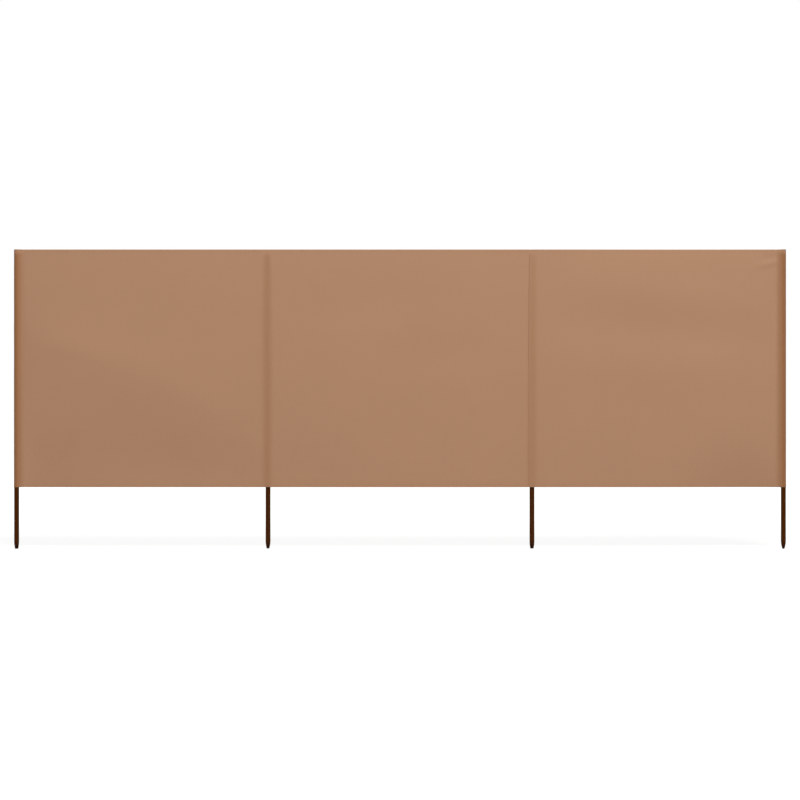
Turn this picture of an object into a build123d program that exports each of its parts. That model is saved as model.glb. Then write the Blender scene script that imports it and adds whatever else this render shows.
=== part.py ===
"""Beach windbreak: cloth that runs on in three bays, carried by four steel posts.

Millimetres, +Z up. The cloth stands in the XZ plane and faces -Y, and the bays run along +X.
The origin is on the flat end of the left end post. At each end the cloth is folded round its post
and sewn to itself. At the inner posts a tuck in the cloth, closed by one seam, makes a loop behind
it, and the post stands in that loop. All four loops are open below and closed over the post's top.
"""

import os

from build123d import *

# Bays, from one post's centre to the next
END_BAY = 1285.0
MIDDLE_BAY = 1352.0

# Posts: round steel tube, pressed to a closed oval tip that is driven into the ground
POST_DIAMETER = 25.0
POST_WALL = 1.0
SPIKE_LENGTH = 315.0
TIP_LENGTH = 42.0
TIP_WIDTH = 17.0
TIP_DEPTH = 11.0
TIP_CHAMFER = 1.5
TIP_END_WALL = 4.0
LEFT_INNER_TURN = 50.0
RIGHT_END_TURN = 80.0

# Cloth: sheet, folded hems, and the loops sewn round the posts
CLOTH_HEIGHT = 1215.0
CLOTH_THICKNESS = 0.8
HEM_HEIGHT = 15.0
HEM_THICKNESS = 1.6
HEM_STOP = 10.0
LOOP_CLEARANCE = 0.3
SEAM_BITE = 4.0
END_SEAM_REACH = 20.0
END_FLANGE_WIDTH = 12.0
TUCK_NECK = 5.0
LEFT_TUCK_SWING = 2.0
RIGHT_TUCK_SWING = 18.5

# Sizes that follow from those
POST_RADIUS = POST_DIAMETER / 2
TUNNEL_RADIUS = POST_RADIUS + LOOP_CLEARANCE
LOOP_RADIUS = TUNNEL_RADIUS + CLOTH_THICKNESS
END_SEAM = LOOP_RADIUS + END_SEAM_REACH
CLOTH_BOTTOM = SPIKE_LENGTH
CLOTH_TOP = CLOTH_BOTTOM + CLOTH_HEIGHT
POST_TOP = CLOTH_TOP - CLOTH_THICKNESS - LOOP_CLEARANCE
INNER_POST_Y = LOOP_RADIUS + TUCK_NECK

# Places along the run: posts, and the seams of the tucks, which the posts swing to the right of
LEFT_END_X = 0.0
LEFT_INNER_X = LEFT_END_X + END_BAY
RIGHT_INNER_X = LEFT_INNER_X + MIDDLE_BAY
RIGHT_END_X = RIGHT_INNER_X + END_BAY
LEFT_TUCK_X = LEFT_INNER_X - LEFT_TUCK_SWING
RIGHT_TUCK_X = RIGHT_INNER_X - RIGHT_TUCK_SWING


def disc(radius, level):
    """Round section of a post at a level above its tip."""
    return (Pos(0, 0, level) * Circle(radius)).face()


def oval(width, depth, level):
    """Oval section of a post's tip at a level above its end."""
    return (Pos(0, 0, level) * Ellipse(width / 2, depth / 2)).face()


def post():
    """Tube on the Z axis, open at its top and drawn in to a closed oval tip with a broken edge."""
    edges = 2 * TIP_CHAMFER
    skin = loft(
        [
            oval(TIP_WIDTH - edges, TIP_DEPTH - edges, 0),
            oval(TIP_WIDTH, TIP_DEPTH, TIP_CHAMFER),
            disc(POST_RADIUS, TIP_LENGTH),
            disc(POST_RADIUS, POST_TOP),
        ],
        ruled=True,
    )
    walls = 2 * POST_WALL
    bore_radius = POST_RADIUS - POST_WALL
    bore = loft(
        [
            oval(TIP_WIDTH - walls, TIP_DEPTH - walls, TIP_END_WALL),
            disc(bore_radius, TIP_LENGTH),
            disc(bore_radius, POST_TOP),
        ],
        ruled=True,
    )
    return skin - bore


def wrap(radius, centre, start, end):
    """Face inside a cloth that is pulled round a circle and straight to the ends of a line."""
    circle = Pos(*centre) * Circle(radius)
    return make_hull(circle.edges() + Line(start, end).edges())


def loop(walls, tunnel):
    """Cloth walls as high as the cloth, with a roof that closes the tunnel over the post."""
    roof = extrude(Pos(0, 0, CLOTH_TOP - CLOTH_THICKNESS) * tunnel, CLOTH_THICKNESS)
    return extrude(Pos(0, 0, CLOTH_BOTTOM) * walls, CLOTH_HEIGHT) + roof


def end_sleeve():
    """Loop round the left end post: its front meets the panel's edge, its flange laps the back."""
    corner = END_SEAM - SEAM_BITE
    flange_edge = END_SEAM + END_FLANGE_WIDTH
    skin = wrap(LOOP_RADIUS, (0, 0), (END_SEAM, -CLOTH_THICKNESS), (END_SEAM, CLOTH_THICKNESS))
    tunnel = wrap(TUNNEL_RADIUS, (0, 0), (0, 0), (corner, 0))
    flange_middle = ((corner + flange_edge) / 2, CLOTH_THICKNESS / 2)
    flange = Pos(*flange_middle) * Rectangle(flange_edge - corner, CLOTH_THICKNESS)
    return loop(skin - tunnel + flange, tunnel)


def inner_sleeve(swing):
    """Loop behind the cloth, from its seam on the Z axis round a post that stands beside it."""
    post_place = Vector(swing, INNER_POST_Y)
    corner = post_place.normalized() * SEAM_BITE
    skin = wrap(LOOP_RADIUS, post_place, (-CLOTH_THICKNESS, 0), (CLOTH_THICKNESS, 0))
    tunnel = wrap(TUNNEL_RADIUS, post_place, post_place, corner)
    return loop(skin - tunnel, tunnel)


def slab(left, right, front, back, bottom, top):
    """Flat piece of cloth between six planes."""
    size = (right - left, back - front, top - bottom)
    return Pos(left, front, bottom) * Box(*size, align=(Align.MIN, Align.MIN, Align.MIN))


def panel(left, right, hem_left, hem_right):
    """Sheet with a hem folded to its back along the top and the bottom, clear of the loops."""
    sheet = slab(left, right, -CLOTH_THICKNESS, 0, CLOTH_BOTTOM, CLOTH_TOP)
    for hem_bottom in (CLOTH_BOTTOM, CLOTH_TOP - HEM_HEIGHT):
        sheet += slab(hem_left, hem_right, 0, HEM_THICKNESS, hem_bottom, hem_bottom + HEM_HEIGHT)
    return sheet


end_hem_start = END_SEAM + END_FLANGE_WIDTH

nodes = {
    "left_end_post": Pos(LEFT_END_X, 0) * post(),
    "left_inner_post": Pos(LEFT_INNER_X, INNER_POST_Y) * Rot(0, 0, LEFT_INNER_TURN) * post(),
    "right_inner_post": Pos(RIGHT_INNER_X, INNER_POST_Y) * post(),
    "right_end_post": Pos(RIGHT_END_X, 0) * Rot(0, 0, RIGHT_END_TURN) * post(),
    "left_end_sleeve": Pos(LEFT_END_X, 0) * end_sleeve(),
    "left_inner_sleeve": Pos(LEFT_TUCK_X, 0) * inner_sleeve(LEFT_TUCK_SWING),
    "right_inner_sleeve": Pos(RIGHT_TUCK_X, 0) * inner_sleeve(RIGHT_TUCK_SWING),
    "right_end_sleeve": Pos(RIGHT_END_X, 0) * mirror(end_sleeve(), Plane.YZ),
    "left_panel": panel(
        LEFT_END_X + END_SEAM,
        LEFT_TUCK_X,
        LEFT_END_X + end_hem_start,
        LEFT_TUCK_X - HEM_STOP,
    ),
    "middle_panel": panel(
        LEFT_TUCK_X,
        RIGHT_TUCK_X,
        LEFT_TUCK_X + HEM_STOP,
        RIGHT_TUCK_X - HEM_STOP,
    ),
    "right_panel": panel(
        RIGHT_TUCK_X,
        RIGHT_END_X - END_SEAM,
        RIGHT_TUCK_X + HEM_STOP,
        RIGHT_END_X - end_hem_start,
    ),
}

os.makedirs("parts", exist_ok=True)
for name, shape in nodes.items():
    export_step(shape, f"parts/{name}.step")
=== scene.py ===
"""Looks of a beach windbreak: its cloth, loops, hems, stitching and posts, built round the CAD frame.

Metres, +Z up, in the CAD part's own frame: the cloth stands in the XZ plane and faces -Y.
"""

import math
from collections import namedtuple

import bmesh
import bpy
import numpy as np
from mathutils import Matrix, Vector, noise


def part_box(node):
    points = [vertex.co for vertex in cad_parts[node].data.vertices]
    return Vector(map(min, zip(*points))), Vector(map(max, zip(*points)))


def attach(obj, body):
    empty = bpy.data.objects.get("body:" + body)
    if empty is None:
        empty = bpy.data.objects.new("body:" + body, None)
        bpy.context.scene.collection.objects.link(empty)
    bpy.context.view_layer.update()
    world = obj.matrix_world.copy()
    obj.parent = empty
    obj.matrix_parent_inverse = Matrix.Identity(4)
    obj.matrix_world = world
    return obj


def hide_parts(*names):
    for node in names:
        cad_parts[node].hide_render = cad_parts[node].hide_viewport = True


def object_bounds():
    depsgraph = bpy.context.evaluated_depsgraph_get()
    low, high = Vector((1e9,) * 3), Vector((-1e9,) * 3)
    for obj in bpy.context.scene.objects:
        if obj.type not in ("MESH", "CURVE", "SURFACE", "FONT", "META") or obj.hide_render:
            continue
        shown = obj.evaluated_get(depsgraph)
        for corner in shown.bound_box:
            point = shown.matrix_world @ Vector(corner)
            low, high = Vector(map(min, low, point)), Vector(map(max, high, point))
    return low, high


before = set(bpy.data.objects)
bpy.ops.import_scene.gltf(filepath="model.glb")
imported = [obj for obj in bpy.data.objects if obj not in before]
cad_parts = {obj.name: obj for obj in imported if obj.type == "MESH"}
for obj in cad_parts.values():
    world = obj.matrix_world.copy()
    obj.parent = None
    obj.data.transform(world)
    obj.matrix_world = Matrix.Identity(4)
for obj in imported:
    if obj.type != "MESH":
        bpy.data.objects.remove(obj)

cad_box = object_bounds()

bl_info = {
    "name": "Beach windbreak",
    "version": (1, 0, 0),
    "blender": (4, 5, 0),
    "location": "View3D > Sidebar > Windbreak",
    "description": "Makes the cloth, stitching and posts of a beach windbreak on its CAD frame",
    "category": "Object",
}

MM = 0.001

# How far each post is turned in its loop, which shows at its oval tip
POST_TURNS = {
    "left_end_post": 0.0,
    "left_inner_post": 50.0,
    "right_inner_post": 0.0,
    "right_end_post": 80.0,
}

# Soft folds of the hanging cloth: from and to (along the run, above the cloth's foot), half width
# and depth, where a fold that stands towards the viewer has a negative depth
FOLDS = (
    ((0.05, 0.74), (1.22, 0.34), 0.22, -0.0185),
    ((0.00, 0.78), (0.60, 0.64), 0.07, -0.0040),
    ((0.02, 0.17), (1.22, 0.07), 0.13, 0.0085),
    ((1.45, 0.92), (2.15, 0.96), 0.14, 0.0080),
    ((1.85, 0.66), (2.55, 0.70), 0.10, 0.0050),
    ((1.75, 0.02), (2.60, 0.02), 0.20, -0.0060),
    ((2.85, 1.06), (3.80, 0.92), 0.10, -0.0060),
    ((2.75, 0.86), (3.80, 0.75), 0.10, 0.0065),
    ((2.70, 0.62), (3.80, 0.58), 0.11, -0.0050),
    ((3.50, -0.12), (4.20, -0.10), 0.21, 0.0360),
    ((-0.20, 0.02), (0.20, 0.02), 0.20, 0.0200),
    ((2.95, 1.26), (3.80, 1.26), 0.09, 0.0120),
)

# Creases where the cloth is drawn to a corner, given as the folds are
CREASES = (
    ((3.795, 1.128), (3.890, 1.156), 0.012, -0.0044),
    ((3.820, 1.172), (3.890, 1.176), 0.012, 0.0022),
    ((-0.10, -0.03), (0.45, -0.03), 0.10, 0.0060),
    ((3.50, -0.03), (4.03, -0.03), 0.10, 0.0060),
)

# Slow unevenness of the cloth: its depth, its size along the run and up the cloth, and its seed
SWAYS = (
    (1.5 * MM, 0.45, 0.45, 3.0),
    (0.3 * MM, 0.14, 0.20, 7.0),
)

# How far from an end seam and from a tuck the folds are still held flat
END_HOLD = 0.04
TUCK_HOLD = 0.12

# Room between a post and the middle of the cloth round it
LOOP_ROOM = 0.35 * MM

# How much painted shade a post puts on the cloth, in place of the light it keeps from coming through:
# where the cloth lies on it, and beside it in its tunnel, where that fades out over a distance. Behind
# the upper hem's layers a share of it is left
CONTACT_SHADE = 0.7
TUNNEL_SHADE = 0.51
TUNNEL_REACH = 27 * MM
HEM_SHADE = 0.35

# Stitches on a hem: their share of its height from the edge, and the share of its gap that they leave
STITCH_LINE = 0.8
STITCH_PRESS = 0.75

# Rows of stitches beside an end seam, and what an upright row leaves free above and below
END_ROWS = (3 * MM, 9 * MM)
ROW_MARGIN = 3 * MM

# Least share of a face's normal along an axis for the face to count as looking that way
FACING = 0.9

# Stage: soft square lights with their place and power in watts, the sky's light and the floor
SOFTBOX_SIZE = 5.0
SOFTBOXES = {
    "key": ((4.0, -9.0, 12.0), 2030),
    "back": ((0.5, 8.0, 8.0), 600),
}
SKY_LIGHT = 0.2
FLOOR_SIZE = 60


def linear(code):
    """Linear colour from an sRGB hex code."""
    channels = [int(code[i : i + 2], 16) / 255 for i in (0, 2, 4)]
    return [c / 12.92 if c <= 0.04045 else ((c + 0.055) / 1.055) ** 2.4 for c in channels]


def colour_setting(name, description, code):
    """Colour that a user would change, from its sRGB hex code."""
    return bpy.props.FloatVectorProperty(
        name=name, description=description, subtype="COLOR", default=linear(code)
    )


def length_setting(name, description, default):
    """Length that a user would change."""
    return bpy.props.FloatProperty(name=name, description=description, unit="LENGTH", default=default)


class WindbreakCloth(bpy.types.PropertyGroup):
    """Sizes and colours of the cloth and its stitching"""

    colour: colour_setting("Cloth colour", "Dyed polyester, as seen with nothing behind it", "AB8265")
    # Painted shade: the colour the cloth is painted where a dark post behind the thin cloth keeps light
    # from coming through it
    post_shade: colour_setting(
        "Post shade", "Colour that the cloth takes where a dark post shows through it", "845021"
    )
    thread_colour: colour_setting("Thread colour", "Sewing thread", "9A7355")
    thickness: length_setting("Thickness", "Thickness of the cloth", 0.45 * MM)
    grid_step: length_setting("Grid step", "Size of the cloth's faces", 10 * MM)
    hem_height: length_setting("Hem height", "Width of the folded hem", 15 * MM)
    hem_gap: length_setting("Hem gap", "Between the hem's layers", 0.9 * MM)
    pucker: length_setting("Pucker", "Depth of the puckers at the seams", 0.3 * MM)
    stitch_length: length_setting("Stitch length", "Length of one stitch", 4.2 * MM)
    stitch_gap: length_setting("Stitch gap", "Space between two stitches", 1.3 * MM)
    thread_size: length_setting("Thread size", "Diameter of the thread", 0.6 * MM)


class WindbreakPosts(bpy.types.PropertyGroup):
    """Sizes and colours of the posts"""

    colour: colour_setting("Post colour", "Powder coat of the steel tube", "421F03")
    # Painted shade for the drawn-in tip, which faces down away from the light
    tip_shade_colour: colour_setting(
        "Tip colour", "Coat at the tip, where it is thick and rubbed dark by the ground", "1C0B03"
    )
    sides: bpy.props.IntProperty(name="Sides", description="Faces round a post", default=40)
    wall: length_setting("Wall", "Wall of the tube", 1.0 * MM)
    tip_length: length_setting("Tip length", "Length of the drawn-in tip", 42 * MM)
    tip_width: length_setting("Tip width", "Wide way across the tip's end", 17 * MM)
    tip_depth: length_setting("Tip depth", "Narrow way across the tip's end", 11 * MM)
    tip_rounding: length_setting("Tip rounding", "Rounding of the tip's end", 1.5 * MM)


class WindbreakStage(bpy.types.PropertyGroup):
    """Camera and floor"""

    floor_colour: colour_setting("Floor colour", "Pale floor and backdrop", "C6C6C4")
    camera_distance: length_setting("Camera distance", "From the cloth", 12.0)
    view_width: length_setting("View width", "Width of the picture at the cloth", 4.092)
    view_height: length_setting("View height", "Height of the picture's centre", 0.7606)


# Meshes and nodes


def add_node(tree, kind, inputs=None, **settings):
    """Add a node. An input given as another node's socket is linked, any other value is set."""
    made = tree.nodes.new(kind)
    for name, value in settings.items():
        setattr(made, name, value)
    for name, value in (inputs or {}).items():
        if isinstance(value, bpy.types.NodeSocket):
            tree.links.new(value, made.inputs[name])
        else:
            made.inputs[name].default_value = value
    return made


def new_material(name):
    """Empty material with its node tree."""
    material = bpy.data.materials.new(name)
    material.use_nodes = True
    material.node_tree.nodes.clear()
    return material, material.node_tree


def rgba(colour, level=1.0):
    """Colour socket value of a colour property, made darker or lighter by a factor."""
    return (*(channel * level for channel in colour), 1.0)


def wave_scale(spacing):
    """Scale of a wave texture whose bands lie a spacing apart: it turns 20 radians in one unit."""
    return 2 * math.pi / (20 * spacing)


def deselect_all():
    """Leave object mode with nothing selected."""
    if bpy.context.object and bpy.context.object.mode != "OBJECT":
        bpy.ops.object.mode_set(mode="OBJECT")
    bpy.ops.object.select_all(action="DESELECT")


def new_piece(name, points, faces):
    """Object with a mesh of its own, selected alone."""
    mesh = bpy.data.meshes.new(name)
    mesh.from_pydata(points, [], faces)
    piece = bpy.data.objects.new(name, mesh)
    bpy.context.collection.objects.link(piece)
    deselect_all()
    piece.select_set(True)
    bpy.context.view_layer.objects.active = piece
    return piece


def select_faces(mesh, wanted):
    """In edit mode, select the faces that a test wants and nothing else."""
    bpy.ops.mesh.select_mode(type="FACE")
    bpy.ops.mesh.select_all(action="DESELECT")
    edited = bmesh.from_edit_mesh(mesh)
    for face in edited.faces:
        face.select_set(wanted(face))
    bmesh.update_edit_mesh(mesh)


# Materials


def woven_polyester(cloth):
    """Plain-woven dyed polyester: matt, with slubs along both threads and a faint sheen."""
    material, tree = new_material("woven_polyester_taupe")
    # A real thread is about 0.5 mm; it is drawn five times as coarse, so that it shows at all
    thread_spacing = 2.5 * MM
    # Slubs are thicker stretches of thread, about 4 mm wide and a hand long
    slub_width = 4 * MM
    slub_length = 180 * MM
    # Dye takes a little unevenly, in patches about a third of a metre across. The darkest and lightest
    # levels also carry the weave's painted shade between the threads and painted light on them
    patch_size = 0.33
    darkest_dye_and_shade = 0.91
    lightest_dye_and_light = 1.09
    cut = add_node(tree, "ShaderNodeAttribute", attribute_name="cut").outputs["Vector"]
    along_run = (1 / slub_length, 1 / slub_width, 1)
    upright = (1 / slub_width, 1 / slub_length, 1)
    threads = []
    slubs = []
    for direction, stretch in (("X", along_run), ("Y", upright)):
        thread = add_node(
            tree,
            "ShaderNodeTexWave",
            {"Vector": cut, "Scale": wave_scale(thread_spacing)},
            bands_direction=direction,
        )
        threads.append(thread.outputs["Fac"])
        stretched = add_node(tree, "ShaderNodeMapping", {"Vector": cut, "Scale": stretch})
        slub = add_node(
            tree,
            "ShaderNodeTexNoise",
            {"Vector": stretched.outputs["Vector"], "Scale": 1.0, "Detail": 2.0},
        )
        slubs.append(slub.outputs["Fac"])
    over_under = add_node(tree, "ShaderNodeTexChecker", {"Vector": cut, "Scale": 1 / thread_spacing})
    weave = add_node(
        tree,
        "ShaderNodeMix",
        {"Factor": over_under.outputs["Fac"], "A": threads[0], "B": threads[1]},
    ).outputs["Result"]
    both_slubs = add_node(
        tree, "ShaderNodeMix", {"Factor": 0.5, "A": slubs[0], "B": slubs[1]}
    ).outputs["Result"]
    patches = add_node(
        tree, "ShaderNodeTexNoise", {"Vector": cut, "Scale": 1 / patch_size, "Detail": 2.0}
    )
    uneven = add_node(
        tree, "ShaderNodeMix", {"Factor": 0.35, "A": both_slubs, "B": patches.outputs["Fac"]}
    )
    # Painted shade: between the threads less light comes back, so the weave is mixed into the colour
    tone = add_node(
        tree, "ShaderNodeMix", {"Factor": 0.35, "A": uneven.outputs["Result"], "B": weave}
    )
    dye_and_weave_shade = add_node(
        tree,
        "ShaderNodeMix",
        {
            "Factor": tone.outputs["Result"],
            "A": rgba(cloth.colour, darkest_dye_and_shade),
            "B": rgba(cloth.colour, lightest_dye_and_light),
        },
        data_type="RGBA",
    )
    # Painted shade where a post stands behind the thin cloth and keeps light from coming through it
    show_through = add_node(tree, "ShaderNodeAttribute", attribute_name="show_through")
    shaded = add_node(
        tree,
        "ShaderNodeMix",
        {
            "Factor": show_through.outputs["Fac"],
            "A": dye_and_weave_shade.outputs["Result"],
            "B": rgba(cloth.post_shade),
        },
        data_type="RGBA",
    )
    rough = add_node(
        tree, "ShaderNodeMapRange", {"Value": both_slubs, "To Min": 0.72, "To Max": 0.88}
    )
    raised = add_node(tree, "ShaderNodeMix", {"Factor": 0.5, "A": weave, "B": both_slubs})
    bump = add_node(
        tree,
        "ShaderNodeBump",
        {"Strength": 0.6, "Distance": 0.4 * MM, "Height": raised.outputs["Result"]},
    )
    shader = add_node(
        tree,
        "ShaderNodeBsdfPrincipled",
        {
            "Base Color": shaded.outputs["Result"],
            "Roughness": rough.outputs["Result"],
            "Normal": bump.outputs["Normal"],
            "Specular IOR Level": 0.2,
            "Sheen Weight": 0.06,
            "Sheen Roughness": 0.5,
        },
    )
    add_node(tree, "ShaderNodeOutputMaterial", {"Surface": shader.outputs["BSDF"]})
    return material


def sewing_thread(cloth):
    """Spun polyester thread: a little glossier than the cloth, with the twist of its plies painted as
    shade between them and light on them.
    """
    material, tree = new_material("sewing_thread_taupe")
    twist_pitch = 1.2 * MM
    shade_between_plies = 0.85
    light_on_plies = 1.1
    place = add_node(tree, "ShaderNodeTexCoord").outputs["Object"]
    twist = add_node(
        tree,
        "ShaderNodeTexWave",
        {"Vector": place, "Scale": wave_scale(twist_pitch), "Distortion": 1.0},
        bands_direction="DIAGONAL",
    )
    # Painted shade between the plies and painted light on them
    colour = add_node(
        tree,
        "ShaderNodeMix",
        {
            "Factor": twist.outputs["Fac"],
            "A": rgba(cloth.thread_colour, shade_between_plies),
            "B": rgba(cloth.thread_colour, light_on_plies),
        },
        data_type="RGBA",
    )
    shader = add_node(
        tree,
        "ShaderNodeBsdfPrincipled",
        {"Base Color": colour.outputs["Result"], "Roughness": 0.6},
    )
    add_node(tree, "ShaderNodeOutputMaterial", {"Surface": shader.outputs["BSDF"]})
    return material


def powder_coat(posts):
    """Brown powder coat on steel tube: satin, with orange peel, and duller towards the tip, where
    painted shade darkens it.
    """
    material, tree = new_material("powder_coated_steel_brown")
    # Orange peel is about 1 mm across; it is drawn at 3 mm, so that it shows
    peel_size = 3 * MM
    # The painted tip shade comes in streaks along the post, about 40 mm long and 2 mm wide
    streak_width = 2 * MM
    streak_length = 40 * MM
    # Painted shade darkens the drawn-in tip, which faces down away from the light: most at the very
    # end, and not at all above this height. The coat is made duller in the same place
    tip_shade_height = 50 * MM
    deepest_tip_shade = 1.6
    place = add_node(tree, "ShaderNodeTexCoord").outputs["Object"]
    peel = add_node(
        tree, "ShaderNodeTexNoise", {"Vector": place, "Scale": 1 / peel_size, "Detail": 2.0}
    )
    stretched = add_node(
        tree,
        "ShaderNodeMapping",
        {"Vector": place, "Scale": (1 / streak_width, 1 / streak_width, 1 / streak_length)},
    )
    streaks = add_node(
        tree,
        "ShaderNodeTexNoise",
        {"Vector": stretched.outputs["Vector"], "Scale": 1.0, "Detail": 3.0},
    )
    height = add_node(tree, "ShaderNodeSeparateXYZ", {"Vector": place})
    near_tip = add_node(
        tree,
        "ShaderNodeMapRange",
        {
            "Value": height.outputs["Z"],
            "From Max": tip_shade_height,
            "To Min": deepest_tip_shade,
            "To Max": 0.0,
        },
        interpolation_type="SMOOTHSTEP",
    )
    tip_shade_and_dulling = add_node(
        tree,
        "ShaderNodeMath",
        {0: near_tip.outputs["Result"], 1: streaks.outputs["Fac"]},
        operation="MULTIPLY",
    )
    # Painted shade on the tip, mixed over the coat's own colour
    colour = add_node(
        tree,
        "ShaderNodeMix",
        {"Factor": tip_shade_and_dulling.outputs["Value"], "A": rgba(posts.colour), "B": rgba(posts.tip_shade_colour)},
        data_type="RGBA",
    )
    rough = add_node(
        tree,
        "ShaderNodeMapRange",
        {"Value": tip_shade_and_dulling.outputs["Value"], "From Max": 0.6, "To Min": 0.55, "To Max": 0.72},
    )
    bump = add_node(
        tree,
        "ShaderNodeBump",
        {"Strength": 0.15, "Distance": 0.2 * MM, "Height": peel.outputs["Fac"]},
    )
    shader = add_node(
        tree,
        "ShaderNodeBsdfPrincipled",
        {
            "Base Color": colour.outputs["Result"],
            "Roughness": rough.outputs["Result"],
            "Normal": bump.outputs["Normal"],
            "Specular IOR Level": 0.045,
        },
    )
    add_node(tree, "ShaderNodeOutputMaterial", {"Surface": shader.outputs["BSDF"]})
    return material


def seen_directly(tree):
    """Socket that is 1 for what the camera, reflections and clear things see, and 0 for light."""
    path = add_node(tree, "ShaderNodeLightPath")
    seen = path.outputs["Is Camera Ray"]
    for kind in ("Is Glossy Ray", "Is Transmission Ray"):
        either = add_node(tree, "ShaderNodeMath", {0: seen, 1: path.outputs[kind]}, operation="MAXIMUM")
        seen = either.outputs["Value"]
    return seen


def pale_floor(stage):
    """Matt pale floor. The camera and reflections see it lifted to white, with a soft shadow left."""
    material, tree = new_material("pale_studio_floor")
    # The lamps light an oval of floor. Past its rim the floor is as white as the sky behind it
    oval_length = 4.5
    oval_depth = 3.5
    even_share = 0.55
    lit_glow = 0.86
    shadow_share = 0.3
    seen = seen_directly(tree)
    place = add_node(tree, "ShaderNodeTexCoord").outputs["Object"]
    scaled = add_node(
        tree, "ShaderNodeMapping", {"Vector": place, "Scale": (1 / oval_length, 1 / oval_depth, 1)}
    )
    distance = add_node(
        tree, "ShaderNodeVectorMath", {0: scaled.outputs["Vector"]}, operation="LENGTH"
    )
    glow = add_node(
        tree,
        "ShaderNodeMapRange",
        {
            "Value": distance.outputs["Value"],
            "From Min": even_share,
            "To Min": lit_glow,
            "To Max": 1.0,
        },
        interpolation_type="SMOOTHSTEP",
    )
    strength = add_node(
        tree, "ShaderNodeMath", {0: seen, 1: glow.outputs["Result"]}, operation="MULTIPLY"
    )
    tint = add_node(
        tree,
        "ShaderNodeMix",
        {
            "Factor": seen,
            "A": rgba(stage.floor_colour),
            "B": rgba(stage.floor_colour, shadow_share),
        },
        data_type="RGBA",
    )
    matt = add_node(tree, "ShaderNodeBsdfDiffuse", {"Color": tint.outputs["Result"]})
    light = add_node(tree, "ShaderNodeEmission", {"Strength": strength.outputs["Value"]})
    both = add_node(
        tree, "ShaderNodeAddShader", {0: matt.outputs["BSDF"], 1: light.outputs["Emission"]}
    )
    add_node(tree, "ShaderNodeOutputMaterial", {"Surface": both.outputs["Shader"]})
    return material


# Places taken from the frame


def centre_of(node):
    """Middle of a node's box."""
    low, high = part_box(node)
    return (low + high) / 2


LEFT_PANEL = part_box("left_panel")
RIGHT_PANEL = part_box("right_panel")
LEFT_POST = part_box("left_end_post")
CLOTH_BOTTOM, CLOTH_TOP = (corner.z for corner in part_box("middle_panel"))
# End seams and tucks along the run, from left to right
SEAMS = [corner.x for panel in (LEFT_PANEL, RIGHT_PANEL) for corner in panel]
LEFT_END, LEFT_TUCK, RIGHT_TUCK, RIGHT_END = SEAMS
# End seams, each with the way along the run from it into its bay
ENDS = {"left": (LEFT_END, 1), "right": (RIGHT_END, -1)}
POST_PLACES = [centre_of(node).x for node in POST_TURNS]
END_POSTS = (POST_PLACES[0], POST_PLACES[-1])
POST_RADIUS = (LEFT_POST[1].x - LEFT_POST[0].x) / 2
LOOP_RADIUS = POST_RADIUS + LOOP_ROOM
FLANGE_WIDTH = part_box("left_end_sleeve")[1].x - LEFT_END
# The cloth's own sheet is in the middle of the CAD panel's thickness, in front of the hems
SHEET_Y = LEFT_PANEL[0].y / 2

# Tucks: the seam, half the gap at it, how far its top leans along the run, and where the hems end
# to its left and right, which is nearer to it where the loop leaves more room
Tuck = namedtuple("Tuck", "seam gap lean hem_left hem_right")
TUCKS = {
    "left": Tuck(LEFT_TUCK, 0.04 * MM, 0.0, 2.0 * MM, 2.5 * MM),
    "right": Tuck(RIGHT_TUCK, 0.3 * MM, 5.5 * MM, 1.0 * MM, 8.0 * MM),
}

# Bands of painted shade on the cloth in front of an inner post: the middle, then the shade at the
# cloth's foot and top and the half width at both, each with the power of the height it follows
Band = namedtuple("Band", "middle foot_shade top_shade shade_power foot_width top_width width_power")
BANDS = (
    Band(LEFT_TUCK - 1.5 * MM, 0.25, 0.25, 1, 23.5 * MM, 12.0 * MM, 12),
    Band(POST_PLACES[2], 0.20, 0.13, 8, 24.5 * MM, 18.0 * MM, 1),
)

# Distances of the columns beside a tuck's edge and beside an end seam, and of the rows at a hem
TUCK_STEPS = [d * MM for d in (0.5, 1.0, 1.7, 2.8, 4.8, 8.8, 15.0)]
END_STEPS = [d * MM for d in (0, 3, 6, 9, 12, 12.5, 18)]
HEM_STEPS = [d * MM for d in (0, 3, 6, 9, 12, 15, 19, 25)]


# Shape of the hanging cloth


def clamped(share):
    """Share that stays between 0 and 1."""
    return min(max(share, 0.0), 1.0)


def between(first, last, share):
    """Value on the way from one to another."""
    return first + (last - first) * share


def nearest(x, *places):
    """Distance along the run to the nearest of some places."""
    return min(abs(x - place) for place in places)


def share_up(z):
    """Height on the cloth, from 0 at its foot to 1 at its top."""
    return (z - CLOTH_BOTTOM) / (CLOTH_TOP - CLOTH_BOTTOM)


def fold_depth(folds, x, height):
    """Depth of some folds at a place on the cloth. A fold runs out past both of its ends."""
    overrun = 0.3
    depth = 0.0
    for start, end, half_width, fold in folds:
        along = (end[0] - start[0], end[1] - start[1])
        length = math.hypot(*along)
        dx = x - start[0]
        dz = height - start[1]
        share = (dx * along[0] + dz * along[1]) / length**2
        across = (dx * along[1] - dz * along[0]) / length
        fade = clamped(share + overrun) * clamped(1 + overrun - share)
        depth += fold * fade * math.exp(-((across / half_width) ** 2))
    return depth


def slack(x):
    """Share of a fold that the cloth can take, which fades to nothing at each seam."""
    end = nearest(x, LEFT_END, RIGHT_END)
    tuck = nearest(x, LEFT_TUCK, RIGHT_TUCK)
    return (1.0 - math.exp(-end / END_HOLD)) * (1.0 - math.exp(-tuck / TUCK_HOLD))


def pucker_at(distance, along, seed, reach):
    """Ripples that run out from a seam: they follow each other along it and fade across it."""
    ripple_length = 0.045
    ripple_width = 3 * ripple_length
    ripple = noise.noise(Vector((along / ripple_length, distance / ripple_width, seed)))
    return ripple * math.exp(-distance / reach)


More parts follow.
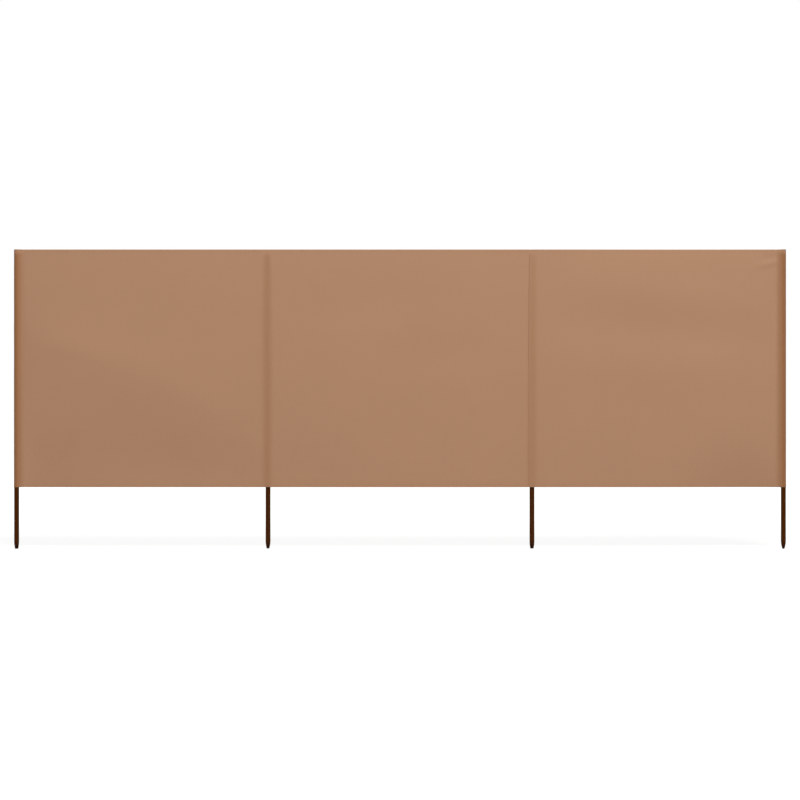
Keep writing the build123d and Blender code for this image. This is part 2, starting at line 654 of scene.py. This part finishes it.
def below_top(z, first, last):
    """0 above one distance below the cloth's top, 1 below another, and smooth between."""
    share = clamped((CLOTH_TOP - z - first) / (last - first))
    return share * share * (3 - 2 * share)


def painted_shade_kept(z):
    """Share of a post's painted shade that is kept at a height: the upper hem's layers hide the post.
    """
    return below_top(z, 8 * MM, 32 * MM)


def tuck_opens(z):
    """Share of a tuck that is open at a height: the upper hem bridges it."""
    return below_top(z, 17 * MM, 34 * MM)


def tuck_valley(x, z):
    """Groove on the front where a tuck is drawn back: the left one draws at its top alone."""
    up = share_up(z)
    left_fade = 0.06
    left_depth = 1.0 * MM * math.exp((up - 1) / left_fade)
    left_width = 2.2 * MM
    right_depth = between(1.1 * MM, 2.3 * MM, up)
    right_width = between(2.6 * MM, 1.4 * MM, up)
    left = left_depth * math.exp(-abs(x - LEFT_TUCK) / left_width)
    right = right_depth * math.exp(-abs(x - RIGHT_TUCK) / right_width)
    return (left + right) * tuck_opens(z)


def lean(x, z):
    """How far the cloth is drawn along the run at a height, beside a tuck that isn't sewn upright."""
    reach = 0.08
    top_power = 5
    foot_share = 0.25
    up = share_up(z)
    drawn = sum(tuck.lean * math.exp(-abs(x - tuck.seam) / reach) for tuck in TUCKS.values())
    return drawn * (up**top_power - foot_share * (1 - up))


def pinch(x, z):
    """How far the two sides of a tuck are drawn together along the run, where the hem bridges it."""
    reach = 2 * MM
    closed_share = 0.85
    drawn = 0.0
    for tuck in TUCKS.values():
        drawn += (tuck.seam - x) * math.exp(-abs(x - tuck.seam) / reach)
    return closed_share * drawn * (1 - tuck_opens(z))


def lift(x, z):
    """How far the cloth is pushed up over the top of an end post."""
    rise = 0.4 * MM
    half_width = 0.03
    reach = 0.08
    across = nearest(x, *END_POSTS) / half_width
    return rise * math.exp(-(across**2)) * math.exp(-(CLOTH_TOP - z) / reach)


def relief(x, z):
    """How far the cloth stands behind its flat plane at a place."""
    pucker = bpy.context.scene.windbreak_cloth.pucker
    hem_pucker = 2 * pucker
    hem_reach = 0.035
    seam_reach = 0.03
    height = z - CLOTH_BOTTOM
    loose = slack(x)
    depth = fold_depth(FOLDS, x, height) * loose + fold_depth(CREASES, x, height)
    for sway, length, rise, seed in SWAYS:
        depth += sway * loose * noise.noise(Vector((x / length, z / rise, seed)))
    for edge, seed in ((CLOTH_BOTTOM, 11.0), (CLOTH_TOP, 13.0)):
        depth += hem_pucker * pucker_at(abs(z - edge), x, seed, hem_reach)
    for seed, seam in enumerate(SEAMS, 17):
        depth += pucker * pucker_at(abs(x - seam), z, seed, seam_reach)
    return depth + tuck_valley(x, z)


def loop_slack(place, z):
    """How far a loop stands off its post: a little all over, more at its open foot."""
    ripple_width = 0.02
    ripple_height = 0.09
    ripple_depth = 0.25 * MM
    resting_share = 0.5
    foot_reach = 0.02
    foot_depth = 0.7 * MM
    across = (place.x / ripple_width, place.y / ripple_width)
    ripple = noise.noise(Vector((*across, z / ripple_height)))
    foot = math.exp(-(z - CLOTH_BOTTOM) / foot_reach)
    return ripple_depth * max(ripple + resting_share, 0.0) + foot_depth * foot


def tunnel_shade(distance):
    """How much painted shade a post puts on its tunnel, beside the part that lies on the post."""
    return TUNNEL_SHADE * max(0.0, 1.0 - (distance - POST_RADIUS) / TUNNEL_REACH)


def panel_shade(x, z):
    """How much painted shade the posts put on the front of the flat cloth."""
    # With this power a band has a flat middle and soft edges
    edge_power = 3
    up = share_up(z)
    inner = 0.0
    for band in BANDS:
        shade = between(band.foot_shade, band.top_shade, up**band.shade_power)
        width = between(band.foot_width, band.top_width, up**band.width_power)
        inner += shade * math.exp(-((abs(x - band.middle) / width) ** edge_power))
    outer = tunnel_shade(nearest(x, *END_POSTS))
    return outer * painted_shade_kept(z) + inner * tuck_opens(z)


def graded(start, end, first, last, step):
    """Places from start to end: given distances from each end, and even steps between."""
    low = [start + d for d in first]
    high = [end - d for d in reversed(last)]
    count = max(1, round((high[0] - low[-1]) / step))
    return np.concatenate([low[:-1], np.linspace(low[-1], high[0], count + 1), high[1:]])


def wrap_path(start, centre, radius, end, turn):
    """Points of a cloth from start round the far side of a circle to end, with their tightness.

    turn is 1 for a path that goes round against the clock and -1 for one that goes with it.
    Tightness is 0 at the seam and 1 where the cloth lies on the circle.
    """
    straight_steps = 7
    arc_steps = 30
    touches = []
    for corner, way in ((start, turn), (end, -turn)):
        away = corner - centre
        heading = math.atan2(away.y, away.x)
        touches.append(heading + way * math.acos(radius / away.length))
    first, last = touches
    while (last - first) * turn < 0:
        last += turn * 2 * math.pi
    points = []
    tightness = []
    tangent = centre + radius * Vector((math.cos(first), math.sin(first)))
    for share in np.linspace(0, 1, straight_steps, endpoint=False):
        points.append(start.lerp(tangent, share))
        tightness.append(share)
    for angle in np.linspace(first, last, arc_steps):
        points.append(centre + radius * Vector((math.cos(angle), math.sin(angle))))
        tightness.append(1.0)
    tangent = points[-1]
    for share in np.linspace(0, 1, straight_steps + 1)[1:]:
        points.append(tangent.lerp(end, share))
        tightness.append(1.0 - share)
    return points, tightness


class Column(namedtuple("Column", "place inward relief_x tight shade", defaults=[None])):
    """One upright line of the cloth: where it stands, how it gives and how much painted post shade it
    takes.
    """

    def point(self, z, offset=0.0):
        """Place on the cloth at a height, moved by offset towards the side the hem folds to."""
        flat = self.place + self.inward * (offset - loop_slack(self.place, z) * self.tight)
        give = 1.0 - self.tight
        along = (lean(self.relief_x, z) + pinch(self.place.x, z)) * give
        depth = relief(self.relief_x, z) * give
        return Vector((flat.x + along, flat.y + depth, z + lift(self.place.x, z)))

    def shade_at(self, z):
        """How much painted post shade the cloth takes at a height."""
        if self.shade is None:
            return panel_shade(self.place.x, z)
        return self.shade * between(HEM_SHADE, 1.0, painted_shade_kept(z))


def panel_columns(places):
    """Columns of the flat cloth."""
    return [Column(Vector((x, SHEET_Y)), Vector((0, 1)), x, 0.0) for x in places]


def flange_columns(places):
    """Columns of the strip behind an end seam, where the loop's end is sewn to the cloth."""
    return [Column(Vector((x, -SHEET_Y)), Vector((0, -1)), x, 0.0, 0.0) for x in places]


def loop_columns(start, centre, end, turn, seam_x):
    """Columns of a loop of cloth from start, round the far side of a post, to end."""
    points, tightness = wrap_path(start, centre, LOOP_RADIUS, end, turn)
    columns = []
    for number, (place, tight) in enumerate(zip(points, tightness)):
        before = points[max(number - 1, 0)]
        after = points[min(number + 1, len(points) - 1)]
        along = (after - before).normalized()
        inward = turn * Vector((-along.y, along.x))
        # Painted post shade: full where the cloth lies on the post, fading beside it in the tunnel
        shade = CONTACT_SHADE if tight == 1.0 else tunnel_shade((place - centre).length)
        columns.append(Column(place, inward, seam_x, tight, shade))
    return columns


# A run of cloth: the posts that carry it, its columns, the numbers of those that go round a post and
# of those with a hem, and the columns where an upright row of stitches goes
Run = namedtuple("Run", "name posts columns loop_numbers hem_numbers sewn")


def end_bay(name, step):
    """Cloth from the strip behind its end seam, round the end post, to the nearest tuck."""
    seam, side = ENDS[name]
    tuck = TUCKS[name]
    posts = [f"{name}_end_post", f"{name}_inner_post"]
    strip_columns = 5
    strip = np.linspace(seam + side * FLANGE_WIDTH, seam, strip_columns, endpoint=False)
    length = abs(tuck.seam - seam)
    places = seam + side * graded(0.0, length, END_STEPS, [tuck.gap, *TUCK_STEPS], step)
    centre = centre_of(posts[0]).to_2d()
    flange = flange_columns(strip)
    loop = loop_columns(Vector((seam, -SHEET_Y)), centre, Vector((seam, SHEET_Y)), side, seam)
    columns = flange + loop + panel_columns(places[1:])
    panel_start = len(flange) + len(loop)
    # The hem starts just past the strip's edge, so that the two don't touch
    hem_start = FLANGE_WIDTH + 0.1 * MM
    hem_stop = length - (tuck.hem_left if side > 0 else tuck.hem_right)
    hem_numbers = [
        number
        for number in range(panel_start, len(columns))
        if hem_start < abs(columns[number].place.x - seam) < hem_stop
    ]
    rows = [seam + side * inset for inset in END_ROWS]
    return Run(
        name=f"{name}_panel",
        posts=posts[::side],
        columns=columns,
        loop_numbers=range(len(flange), panel_start),
        hem_numbers=hem_numbers,
        sewn=panel_columns(rows) + flange_columns(rows),
    )


def middle_bay(step):
    """Cloth between the two tucks."""
    left = TUCKS["left"]
    right = TUCKS["right"]
    first = [left.gap, *TUCK_STEPS]
    last = [right.gap, *TUCK_STEPS]
    columns = panel_columns(graded(left.seam, right.seam, first, last, step))
    hem_start = left.seam + left.hem_right
    hem_stop = right.seam - right.hem_left
    hem_numbers = [
        number for number, column in enumerate(columns) if hem_start < column.place.x < hem_stop
    ]
    posts = ["left_inner_post", "right_inner_post"]
    return Run("middle_panel", posts, columns, (), hem_numbers, ())


def inner_loop(name):
    """Loop of a tuck, behind the cloth, round an inner post."""
    tuck = TUCKS[name]
    post = f"{name}_inner_post"
    start = Vector((tuck.seam - tuck.gap, SHEET_Y))
    end = Vector((tuck.seam + tuck.gap, SHEET_Y))
    columns = loop_columns(start, centre_of(post).to_2d(), end, -1, tuck.seam)
    neck = (columns[1], columns[-2])
    return Run(f"{name}_inner_sleeve", [post], columns, range(len(columns)), (), neck)


def wrapped(run):
    """Numbers of the columns that go round the post, clear of the seam."""
    clear_of_seam = 0.4
    return [number for number in run.loop_numbers if run.columns[number].tight > clear_of_seam]


def path_lengths(columns):
    """Lengths along the cloth from its first column to each of them."""
    lengths = [0.0]
    for one, other in zip(columns, columns[1:]):
        lengths.append(lengths[-1] + (other.place - one.place).length)
    return lengths


class Sheet:
    """Strips of faces that are joined into one piece of cloth."""

    def __init__(self, columns, levels):
        self.columns = columns
        self.points = []
        self.cut = []
        self.shade = []
        self.faces = []
        self.across = path_lengths(columns)
        self.main = [[column.point(z) for z in levels] for column in columns]
        self.add(self.main, range(len(columns)), levels)

    def add(self, grid, numbers, cut_levels):
        """Add a grid of points, one line for each column named."""
        rows = len(grid[0])
        offset = len(self.points)
        for line, number in zip(grid, numbers):
            for point, level in zip(line, cut_levels):
                self.points.append(point)
                self.cut.append((self.across[number], level, 0.0))
                self.shade.append(self.columns[number].shade_at(level))
        for i in range(len(grid) - 1):
            for j in range(rows - 1):
                a = offset + i * rows + j
                self.faces.append((a, a + rows, a + rows + 1, a + 1))

    def hem(self, numbers, edge, way, height, gap):
        """Fold the edge over along some columns, way being the direction off the cloth."""
        # The fold in millimetres past the edge and shares of the gap, then its stitches and its end
        folds = ((0.25, 0.3), (0.25, 0.75), (0.0, 1.0), (-4.0, 1.0), (-8.0, 0.9))
        shape = [(rise * MM, share * gap) for rise, share in folds]
        shape += [(-height * STITCH_LINE, STITCH_PRESS * gap), (-height, 0.9 * gap)]
        edge_row = 0 if way < 0 else -1
        grid = []
        for number in numbers:
            line = [self.main[number][edge_row]]
            for rise, offset in shape:
                point = self.columns[number].point(edge + way * min(rise, 0.0), offset)
                point.z += way * max(rise, 0.0)
                line.append(point)
            grid.append(line)
        turn_length = 0.5 * MM
        cut_levels = [edge] + [edge + way * (turn_length - rise) for rise, _ in shape]
        self.add(grid, numbers, cut_levels)

    def roof(self, numbers):
        """Close a loop over its post: its two sides are drawn together along the middle."""
        shares = (0.0, 0.2, 0.45, 0.75, 1.0)
        highest = 0.3 * MM
        steepness = 0.03
        tops = [self.main[number][-1] for number in numbers]
        grid = []
        for top, facing in zip(tops, reversed(tops)):
            middle = (top + facing) / 2
            rise = min(highest, steepness * (middle - top).length)
            line = []
            for share in shares:
                point = top.lerp(middle, share)
                point.z += rise * math.sin(share * math.pi / 2)
                line.append(point)
            grid.append(line)
        self.add(grid, numbers, [CLOTH_TOP + share * LOOP_RADIUS for share in shares])

    def make(self, name, thickness, material):
        """Join the strips, give the cloth its thickness and return the object."""
        join_distance = 0.01 * MM
        piece = new_piece(name, self.points, self.faces)
        mesh = piece.data
        cut = mesh.attributes.new("cut", "FLOAT_VECTOR", "POINT")
        cut.data.foreach_set("vector", np.array(self.cut, np.float32).ravel())
        # Painted post shade, as a share at each point
        shade = mesh.attributes.new("show_through", "FLOAT", "POINT")
        shade.data.foreach_set("value", np.array(self.shade, np.float32))
        edited = bmesh.new()
        edited.from_mesh(mesh)
        bmesh.ops.remove_doubles(edited, verts=edited.verts, dist=join_distance)
        bmesh.ops.recalc_face_normals(edited, faces=edited.faces)
        edited.to_mesh(mesh)
        edited.free()
        solid = piece.modifiers.new("thickness", "SOLIDIFY")
        solid.thickness = thickness
        solid.offset = 0.0
        bpy.ops.object.modifier_apply(modifier=solid.name)
        bpy.ops.object.shade_smooth()
        mesh.materials.append(material)
        return piece


def cloth_rows(cloth):
    """Heights of the cloth's rows, close together at the hems."""
    return graded(CLOTH_BOTTOM, CLOTH_TOP, HEM_STEPS, HEM_STEPS, cloth.grid_step)


def make_cloth(run, cloth, material):
    """Piece of cloth from its columns, with its hems and with a roof on its loop."""
    sheet = Sheet(run.columns, cloth_rows(cloth))
    if run.hem_numbers:
        for edge, way in ((CLOTH_BOTTOM, -1), (CLOTH_TOP, 1)):
            sheet.hem(run.hem_numbers, edge, way, cloth.hem_height, cloth.hem_gap)
    if run.loop_numbers:
        sheet.roof(run.loop_numbers)
        sheet.hem(wrapped(run), CLOTH_BOTTOM, -1, cloth.hem_height, cloth.hem_gap)
    return sheet.make(f"{run.name}_cloth", cloth.thickness, material)


def finish_piece(piece, slot, *nodes):
    """Let a piece ride on the frame and stand for its CAD nodes."""
    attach(piece, "root")
    if nodes:
        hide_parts(*nodes)


# Pieces


class WINDBREAK_OT_posts(bpy.types.Operator):
    """Model one coated steel post and set a copy of it in each loop"""

    bl_idname = "windbreak.posts"
    bl_label = "Posts"

    def execute(self, context):
        posts = context.scene.windbreak_posts
        material = powder_coat(posts)
        pattern = self.model_post(posts, LEFT_POST[1].z)
        for node, turn in POST_TURNS.items():
            place = centre_of(node)
            mesh = pattern.data.copy()
            turned = Matrix.Rotation(math.radians(turn), 4, "Z")
            mesh.transform(Matrix.Translation((place.x, place.y, 0)) @ turned)
            mesh.materials.append(material)
            piece = bpy.data.objects.new(f"{node}_tube", mesh)
            context.collection.objects.link(piece)
            finish_piece(piece, "post_coating", node)
        bpy.data.objects.remove(pattern)
        return {"FINISHED"}

    def model_post(self, posts, top):
        """Tube on the Z axis: its foot is drawn in to an oval tip and its top is bored."""
        tip_rings = 6
        bore_depth = 60 * MM
        shaft = top - posts.tip_length
        deselect_all()
        bpy.ops.mesh.primitive_cylinder_add(
            vertices=posts.sides,
            radius=POST_RADIUS,
            depth=shaft,
            location=(0, 0, posts.tip_length + shaft / 2),
        )
        post = bpy.context.object
        bpy.ops.object.transform_apply(location=True)
        bpy.ops.object.mode_set(mode="EDIT")
        select_faces(post.data, lambda face: face.normal.z < -FACING)
        wide = deep = POST_RADIUS
        drop = (posts.tip_length - posts.tip_rounding) / tip_rings
        for ring in range(1, tip_rings + 1):
            drawn = (ring / tip_rings) ** 2
            next_wide = between(POST_RADIUS, posts.tip_width / 2, drawn)
            next_deep = between(POST_RADIUS, posts.tip_depth / 2, drawn)
            self.draw_in(drop, next_wide / wide, next_deep / deep)
            wide = next_wide
            deep = next_deep
        end_wide = wide - posts.tip_rounding
        end_deep = deep - posts.tip_rounding
        self.draw_in(posts.tip_rounding, end_wide / wide, end_deep / deep)
        select_faces(post.data, lambda face: face.normal.z > FACING)
        bpy.ops.mesh.inset(thickness=posts.wall)
        bpy.ops.mesh.extrude_region_move(TRANSFORM_OT_translate={"value": (0, 0, -bore_depth)})
        bpy.ops.object.mode_set(mode="OBJECT")
        bevel = post.modifiers.new("edges", "BEVEL")
        bevel.width = 0.25 * MM
        bevel.segments = 2
        bevel.limit_method = "ANGLE"
        bevel.angle_limit = math.radians(35)
        bpy.ops.object.modifier_apply(modifier=bevel.name)
        bpy.ops.object.shade_smooth_by_angle(angle=math.radians(40))
        return post

    def draw_in(self, drop, across, along):
        """Extrude the selected foot down and narrow it in both directions."""
        bpy.ops.mesh.extrude_region_move(TRANSFORM_OT_translate={"value": (0, 0, -drop)})
        bpy.ops.transform.resize(value=(across, along, 1), center_override=(0, 0, 0))


class WINDBREAK_OT_panels(bpy.types.Operator):
    """Make the three bays of cloth, the outer two with the loop round their end post"""

    bl_idname = "windbreak.panels"
    bl_label = "Panels and end loops"

    def execute(self, context):
        cloth = context.scene.windbreak_cloth
        material = woven_polyester(cloth)
        for name in ENDS:
            piece = make_cloth(end_bay(name, cloth.grid_step), cloth, material)
            finish_piece(piece, "cloth", f"{name}_panel", f"{name}_end_sleeve")
        piece = make_cloth(middle_bay(cloth.grid_step), cloth, material)
        finish_piece(piece, "cloth", "middle_panel")
        return {"FINISHED"}


class WINDBREAK_OT_inner_loops(bpy.types.Operator):
    """Make the loops of the tucks, behind the cloth, round the inner posts"""

    bl_idname = "windbreak.inner_loops"
    bl_label = "Inner loops"

    def execute(self, context):
        cloth = context.scene.windbreak_cloth
        material = bpy.data.materials["woven_polyester_taupe"]
        for name in TUCKS:
            piece = make_cloth(inner_loop(name), cloth, material)
            finish_piece(piece, "cloth", f"{name}_inner_sleeve")
        return {"FINISHED"}


class WINDBREAK_OT_stitching(bpy.types.Operator):
    """Sew the hems, end seams and tucks, stitch by stitch"""

    bl_idname = "windbreak.stitching"
    bl_label = "Stitching"

    def execute(self, context):
        cloth = context.scene.windbreak_cloth
        material = sewing_thread(cloth)
        stitch = self.model_stitch(cloth)
        runs = [end_bay(name, cloth.grid_step) for name in ENDS]
        runs.append(middle_bay(cloth.grid_step))
        runs += [inner_loop(name) for name in TUCKS]
        for run in runs:
            thread = self.sew(stitch, self.seam_rows(run, cloth), f"{run.name}_stitching", cloth)
            thread.data.materials.append(material)
            finish_piece(thread, None)
            self.declare(run, thread, cloth)
        bpy.data.objects.remove(stitch)
        return {"FINISHED"}

    def model_stitch(self, cloth):
        """One stitch along X: a round thread whose ends go down into the cloth."""
        straight = cloth.stitch_length * 0.55
        reach = (cloth.stitch_length - straight) / 2
        drop = cloth.thread_size * 0.6
        end_size = 0.6
        deselect_all()
        bpy.ops.mesh.primitive_cylinder_add(
            vertices=6,
            radius=cloth.thread_size / 2,
            depth=straight,
            rotation=(0, math.pi / 2, 0),
        )
        stitch = bpy.context.object
        bpy.ops.object.transform_apply(rotation=True)
        bpy.ops.object.mode_set(mode="EDIT")
        for way in (1, -1):
            select_faces(stitch.data, lambda face: face.normal.x * way > FACING)
            bpy.ops.mesh.extrude_region_move(
                TRANSFORM_OT_translate={"value": (way * reach, 0, -drop)}
            )
            bpy.ops.transform.resize(
                value=(1, end_size, end_size),
                center_override=(way * cloth.stitch_length / 2, 0, -drop),
            )
        bpy.ops.object.mode_set(mode="OBJECT")
        return stitch

    def seam_rows(self, run, cloth):
        """Lines to sew, each a list of places with the directions off the cloth there."""
        hem_line = cloth.hem_height * STITCH_LINE
        behind = cloth.hem_gap * STITCH_PRESS
        rows = []
        hem_columns = [run.columns[number] for number in run.hem_numbers]
        for z in (CLOTH_BOTTOM + hem_line, CLOTH_TOP - hem_line):
            for offset, way in ((0.0, -1), (behind, 1)):
                rows.append([(column.point(z, offset), way * column.inward) for column in hem_columns])
        round_post = [run.columns[number] for number in wrapped(run)]
        z = CLOTH_BOTTOM + hem_line
        rows.append([(column.point(z), -column.inward) for column in round_post])
        lowest = CLOTH_BOTTOM + ROW_MARGIN
        highest = CLOTH_TOP - ROW_MARGIN
        heights = [z for z in cloth_rows(cloth) if lowest <= z <= highest]
        for column in run.sewn:
            rows.append([(column.point(z), -column.inward) for z in heights])
        return [row for row in rows if len(row) > 1]

    def sew(self, stitch, rows, name, cloth):
        """Copy the stitch along each row at an even pitch."""
        shape = [vertex.co.copy() for vertex in stitch.data.vertices]
        shape_faces = [tuple(face.vertices) for face in stitch.data.polygons]
        seat = cloth.thickness / 2 + cloth.thread_size / 4
        points = []
        faces = []
        for row in rows:
            for middle, along, off in self.stitch_places(row, cloth):
                across = off.cross(along).normalized()
                off = along.cross(across)
                middle = middle + off * seat
                first = len(points)
                points += [middle + along * v.x + across * v.y + off * v.z for v in shape]
                faces += [tuple(first + corner for corner in face) for face in shape_faces]
        thread = new_piece(name, points, faces)
        bpy.ops.object.shade_smooth()
        return thread

    def stitch_places(self, row, cloth):
        """Middle, direction and way off the cloth of each stitch on a row."""
        pitch = cloth.stitch_length + cloth.stitch_gap
        travelled = 0.0
        due = pitch / 2
        for (start, start_off), (end, _) in zip(row, row[1:]):
            run = end - start
            length = run.length
            along = run.normalized()
            off = Vector((start_off.x, start_off.y, 0.0))
            while due <= travelled + length:
                yield start + along * (due - travelled), along, off
                due += pitch
            travelled += length

    def declare(self, run, thread, cloth):
        """Work out what size a sheet was cut to and what carries it, and keep neither. The stitches are
        not used.
        """
        width = path_lengths(run.columns)[-1]
        length = CLOTH_TOP - CLOTH_BOTTOM
        if run.hem_numbers:
            length += 2 * cloth.hem_height
        [f"{post}_tube" for post in run.posts]


class WINDBREAK_OT_stage(bpy.types.Operator):
    """Set up the pale floor, soft lights and the camera of the front view"""

    bl_idname = "windbreak.stage"
    bl_label = "Stage"

    def execute(self, context):
        stage = context.scene.windbreak_stage
        deselect_all()
        middle = (cad_box[0] + cad_box[1]) / 2
        aim = Vector((middle.x, 0, stage.view_height))
        bpy.ops.mesh.primitive_plane_add(size=FLOOR_SIZE, location=(middle.x, 0, cad_box[0].z))
        floor = context.object
        floor.name = "floor"
        floor.data.materials.append(pale_floor(stage))
        self.world(context.scene)
        for name, (place, power) in SOFTBOXES.items():
            self.softbox(name, Vector(place), aim, power)
        bpy.ops.object.camera_add(location=aim - Vector((0, stage.camera_distance, 0)))
        camera = context.object
        camera.rotation_euler = (math.pi / 2, 0, 0)
        camera.data.lens = camera.data.sensor_width * stage.camera_distance / stage.view_width
        context.scene.camera = camera
        context.scene.view_settings.view_transform = "Standard"
        return {"FINISHED"}

    def softbox(self, name, place, aim, power):
        """Square area light that faces the object."""
        bpy.ops.object.light_add(type="AREA", location=place)
        lamp = bpy.context.object
        lamp.name = name
        lamp.rotation_euler = (aim - place).to_track_quat("-Z", "Y").to_euler()
        lamp.data.shape = "SQUARE"
        lamp.data.size = SOFTBOX_SIZE
        lamp.data.energy = power

    def world(self, scene):
        """Even sky light, which the camera and reflections see as white."""
        world = bpy.data.worlds.new("studio")
        scene.world = world
        world.use_nodes = True
        tree = world.node_tree
        tree.nodes.clear()
        strength = add_node(
            tree,
            "ShaderNodeMapRange",
            {"Value": seen_directly(tree), "To Min": SKY_LIGHT, "To Max": 1.0},
        )
        sky = add_node(
            tree,
            "ShaderNodeBackground",
            {"Color": (1, 1, 1, 1), "Strength": strength.outputs["Result"]},
        )
        add_node(tree, "ShaderNodeOutputWorld", {"Surface": sky.outputs["Background"]})


class WINDBREAK_PT_panel(bpy.types.Panel):
    """Sidebar list of the windbreak's pieces"""

    bl_idname = "WINDBREAK_PT_panel"
    bl_label = "Beach windbreak"
    bl_space_type = "VIEW_3D"
    bl_region_type = "UI"
    bl_category = "Windbreak"

    def draw(self, context):
        for operator in OPERATORS:
            self.layout.operator(operator.bl_idname)
        for group in SETTINGS:
            settings = getattr(context.scene, group)
            box = self.layout.box()
            for name in settings.__annotations__:
                box.prop(settings, name)


OPERATORS = (
    WINDBREAK_OT_posts,
    WINDBREAK_OT_panels,
    WINDBREAK_OT_inner_loops,
    WINDBREAK_OT_stitching,
    WINDBREAK_OT_stage,
)
SETTINGS = {
    "windbreak_cloth": WindbreakCloth,
    "windbreak_posts": WindbreakPosts,
    "windbreak_stage": WindbreakStage,
}
CLASSES = (*SETTINGS.values(), *OPERATORS, WINDBREAK_PT_panel)


def register():
    for made in CLASSES:
        bpy.utils.register_class(made)
    for name, group in SETTINGS.items():
        setattr(bpy.types.Scene, name, bpy.props.PointerProperty(type=group))


def unregister():
    for name in SETTINGS:
        delattr(bpy.types.Scene, name)
    for made in reversed(CLASSES):
        bpy.utils.unregister_class(made)


def main():
    register()
    bpy.ops.windbreak.posts()
    bpy.ops.windbreak.panels()
    bpy.ops.windbreak.inner_loops()
    bpy.ops.windbreak.stitching()
    bpy.ops.windbreak.stage()


if __name__ == "__main__":
    main()
